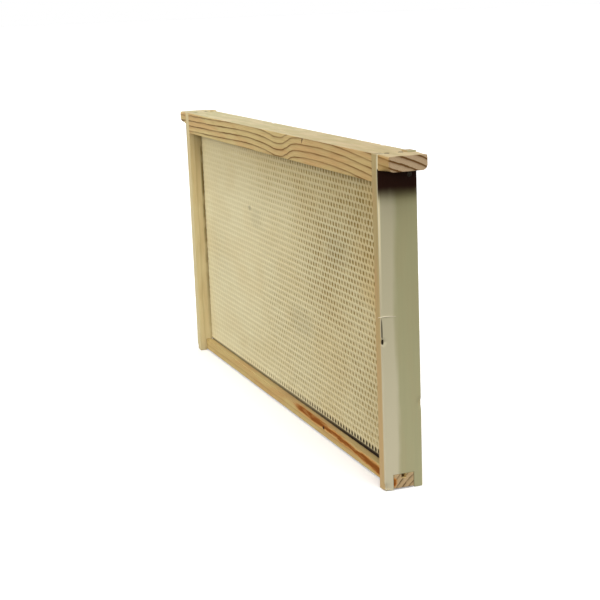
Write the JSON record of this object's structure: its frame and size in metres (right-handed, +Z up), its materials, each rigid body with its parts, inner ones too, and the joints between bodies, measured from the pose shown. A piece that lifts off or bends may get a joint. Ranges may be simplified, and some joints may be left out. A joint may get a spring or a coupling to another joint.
{
  "type": "beehive frame",
  "caption": "Deep Langstroth hive frame: a wooden top bar with lugs, straight end bars, a bottom bar and an embossed foundation sheet, nailed together.",
  "frame": {"origin": "under the middle of the frame, in the plane of the end bars' feet", "axes": "+X along the bars towards the right end bar, +Y from the front face to the back face, +Z up from the feet to the top bar"},
  "size_m": [0.4826, 0.028, 0.2328],
  "materials": {
    "top_bar_pine": "planed, unfinished, strong flat-sawn ring lines",
    "end_bar_pine": "planed, unfinished, pale and straight-grained",
    "bottom_bar_pine": "planed, unfinished, with a red-brown heartwood streak",
    "foundation": "embossed with worker cells and waxed, satin",
    "nail_steel": "bright, slightly dulled"
  },
  "bodies": {
    "root": {"top_bar": "top_bar_pine", "end_bar_left": "end_bar_pine", "end_bar_right": "end_bar_pine", "bottom_bar": "bottom_bar_pine", "foundation_sheet": "foundation", "top_nail_left_front": "nail_steel", "top_nail_left_back": "nail_steel", "top_nail_right_front": "nail_steel", "top_nail_right_back": "nail_steel", "bottom_nail_left_front": "nail_steel", "bottom_nail_left_back": "nail_steel", "bottom_nail_right_front": "nail_steel", "bottom_nail_right_back": "nail_steel", "lock_nail_left": "nail_steel", "lock_nail_right": "nail_steel"}
  },
  "joints": []
}
